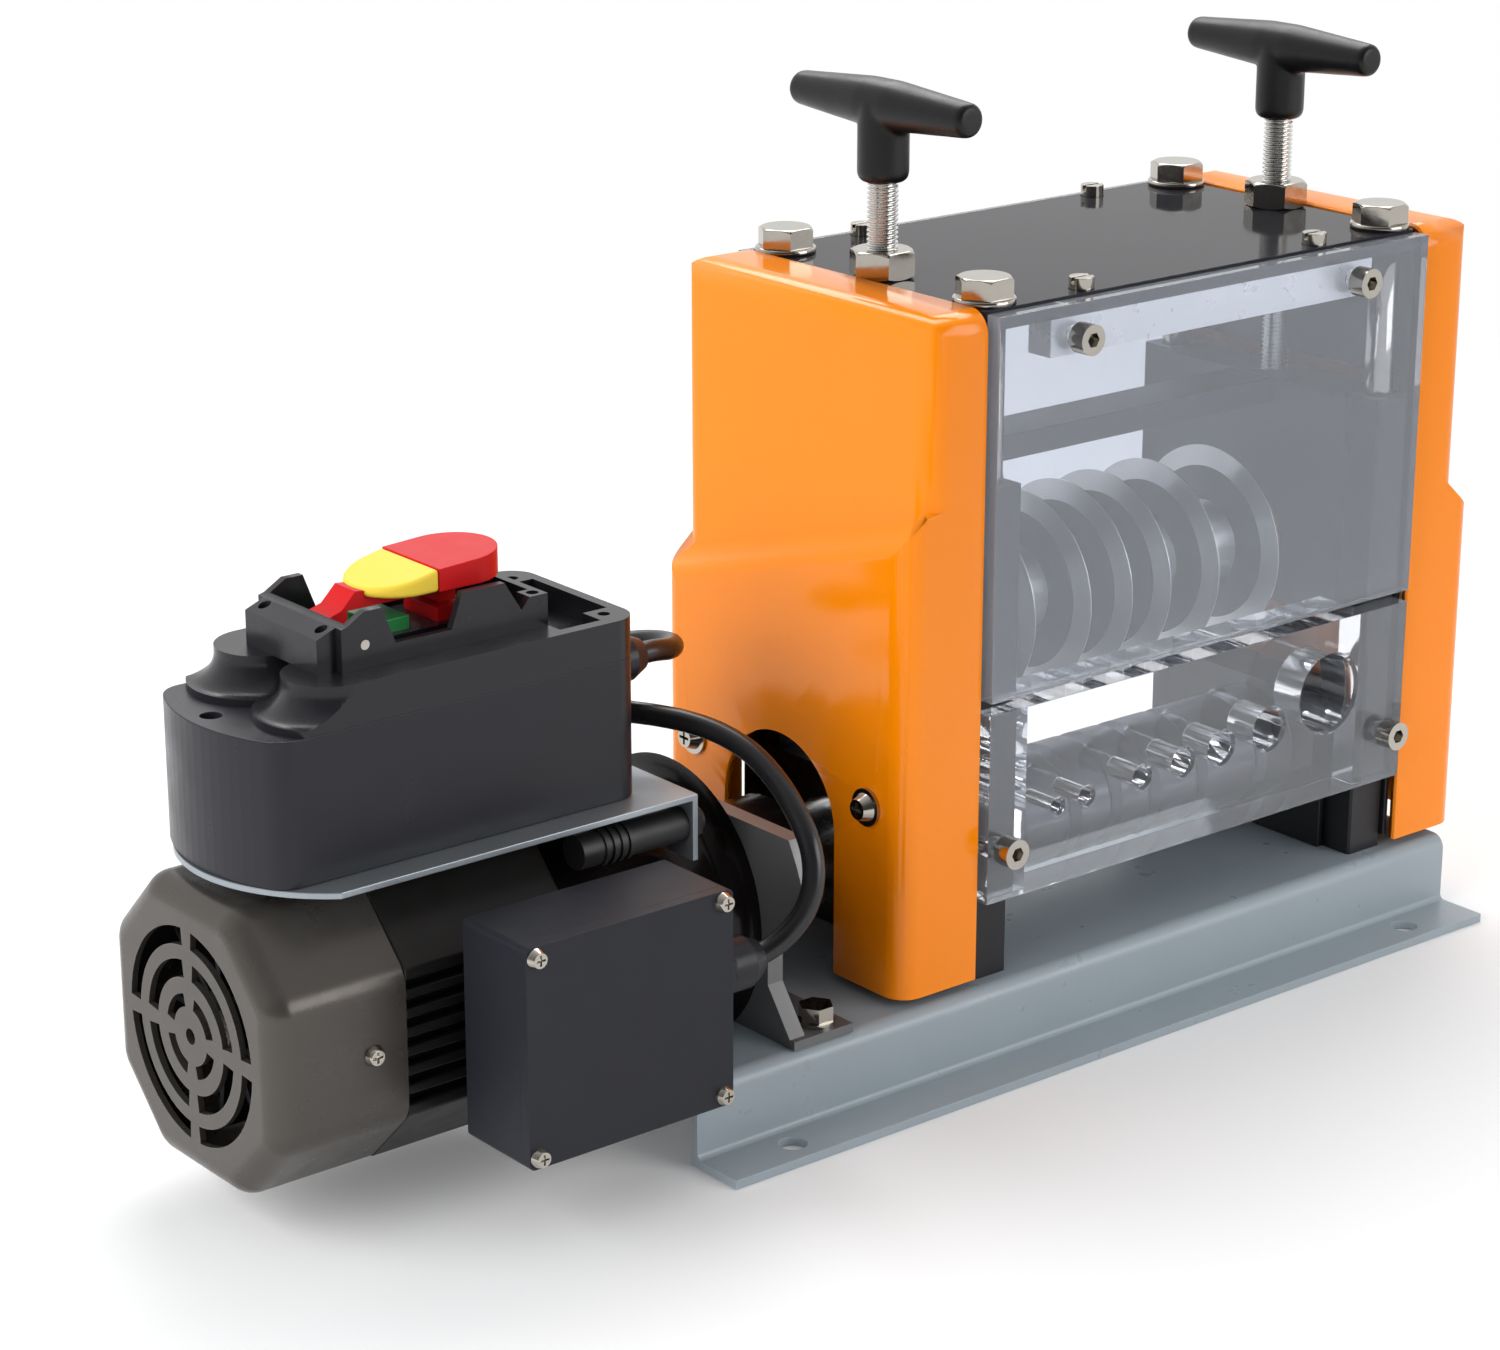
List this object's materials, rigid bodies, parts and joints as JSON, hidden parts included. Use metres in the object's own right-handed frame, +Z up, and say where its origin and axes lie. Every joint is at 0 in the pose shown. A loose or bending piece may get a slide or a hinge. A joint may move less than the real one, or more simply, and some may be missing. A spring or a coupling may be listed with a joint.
{
  "type": "electric wire stripper",
  "caption": "Bench cable stripper: gear motor, grooved feed roller and round blades behind clear guards, height set by T-handle screws, on a channel base.",
  "frame": {"origin": "centre of the four foot holes, on the surface the base stands on", "axes": "+X along the base from the motor to the roll stand, +Y to the back of the machine, +Z up"},
  "size_m": [0.4905, 0.1698, 0.312],
  "materials": {
    "base_paint": "satin blue-grey paint",
    "post_black": "black oxide",
    "plate_gloss": "dark grey, mirror gloss",
    "zinc": "bright zinc",
    "bar_alloy": "milled",
    "clear_acrylic": "clear, polished",
    "cover_orange": "glossy",
    "block_iron": "black, machined",
    "bush_bronze": "turned",
    "shaft_steel": "ground",
    "blade_steel": "ground edge",
    "handle_black": "fine satin",
    "bracket_grey": "light grey paint",
    "gear_grey": "grey paint",
    "motor_black": "black paint",
    "fan_cover_bronze": "grey-brown metallic",
    "fan_plastic": "moulded",
    "box_black": "satin",
    "tray_zinc": "galvanised",
    "paddle_red": "moulded",
    "paddle_yellow": "moulded",
    "button_green": "moulded",
    "lead_rubber": "rubber sheath"
  },
  "bodies": {
    "frame": {"base_channel": "base_paint", "corner_posts": "post_black", "top_plate": "plate_gloss", "plate_bolts": "zinc", "side_plates": "post_black", "panel_bars": "bar_alloy", "bar_studs": "zinc", "front_panel": "clear_acrylic", "rear_panel": "clear_acrylic", "panel_screws": "zinc", "guide_block": "clear_acrylic", "guide_screws": "zinc", "left_cover": "cover_orange", "right_cover": "cover_orange", "cover_standoffs": "zinc", "cover_screws": "zinc", "lower_bearing_blocks": "block_iron", "lower_bushes": "bush_bronze", "lock_nuts": "zinc", "motor_bracket": "bracket_grey", "bracket_bolts": "zinc", "motor_housing": "motor_black", "gear_head": "gear_grey", "fan_cover": "fan_cover_bronze", "fan_cover_screws": "zinc", "junction_box": "box_black", "junction_lid": "box_black", "junction_screws": "zinc", "junction_gland": "box_black", "switch_tray": "tray_zinc", "tray_spacers": "zinc", "fuse_holder": "box_black", "switch_box": "box_black", "switch_lid": "box_black", "switch_bezel": "box_black", "switch_glands": "box_black", "switch_block": "box_black", "paddle_pin": "zinc", "motor_lead": "lead_rubber"},
    "carriage": {"upper_bearing_blocks": "block_iron", "tie_bar": "block_iron", "upper_bushes": "bush_bronze"},
    "blade_shaft": {"upper_shaft": "shaft_steel", "round_blades": "blade_steel", "blade_spacers": "shaft_steel", "shaft_collars": "shaft_steel"},
    "left_t_screw": {"left_screw": "shaft_steel", "left_handle": "handle_black"},
    "right_t_screw": {"right_screw": "shaft_steel", "right_handle": "handle_black"},
    "feed_shaft": {"output_shaft": "shaft_steel", "shaft_coupling": "shaft_steel", "lower_shaft": "shaft_steel", "feed_roller": "shaft_steel"},
    "motor_rotor": {"motor_fan": "fan_plastic", "rotor_shaft": "shaft_steel"},
    "paddle": {"emergency_paddle": "paddle_red", "paddle_boss": "paddle_yellow"},
    "start_button": {"start_button": "button_green"},
    "stop_button": {"stop_button": "paddle_red"}
  },
  "joints": [
    {"name": "carriage_lift", "type": "slide", "parent": "frame", "child": "carriage", "axis": [0, 0, 1], "range_m": [-0.018, 0.003]},
    {"name": "left_turn", "type": "hinge", "parent": "carriage", "child": "left_t_screw", "pos_m": [-0.043, 0, 0.25], "axis": [0, 0, 1], "range_deg": [-4335, 735]},
    {"name": "right_turn", "type": "hinge", "parent": "carriage", "child": "right_t_screw", "pos_m": [0.137, 0, 0.25], "axis": [0, 0, 1], "range_deg": [-4335, 735]},
    {"name": "blade_spin", "type": "hinge", "parent": "carriage", "child": "blade_shaft", "pos_m": [0.047, 0, 0.1345], "axis": [1, 0, 0], "continuous": true},
    {"name": "rotor_spin", "type": "hinge", "parent": "frame", "child": "motor_rotor", "pos_m": [-0.25, 0, 0.06], "axis": [1, 0, 0], "continuous": true},
    {"name": "feed_spin", "type": "hinge", "parent": "frame", "child": "feed_shaft", "pos_m": [0.047, 0, 0.06], "axis": [1, 0, 0], "continuous": true},
    {"name": "paddle_press", "type": "hinge", "parent": "frame", "child": "paddle", "pos_m": [-0.256, 0.0005, 0.175], "axis": [0, 1, 0], "range_deg": [0, 3.4], "stiffness_Nm_per_rad": 6, "springref_deg": -1.15},
    {"name": "start_push", "type": "slide", "parent": "frame", "child": "start_button", "axis": [0, 0, 1], "range_m": [-0.0025, 0], "stiffness_N_per_m": 400, "springref_m": 0.002},
    {"name": "stop_push", "type": "slide", "parent": "frame", "child": "stop_button", "axis": [0, 0, 1], "range_m": [-0.0023, 0]}
  ],
  "couplings": [
    {"joint": "left_turn", "follows": "carriage_lift", "rad_per_m": 4188.8},
    {"joint": "right_turn", "follows": "carriage_lift", "rad_per_m": 4188.8},
    {"joint": "feed_spin", "follows": "rotor_spin", "ratio": 0.033333},
    {"joint": "paddle_press", "follows": "stop_push", "rad_per_m": -25}
  ]
}
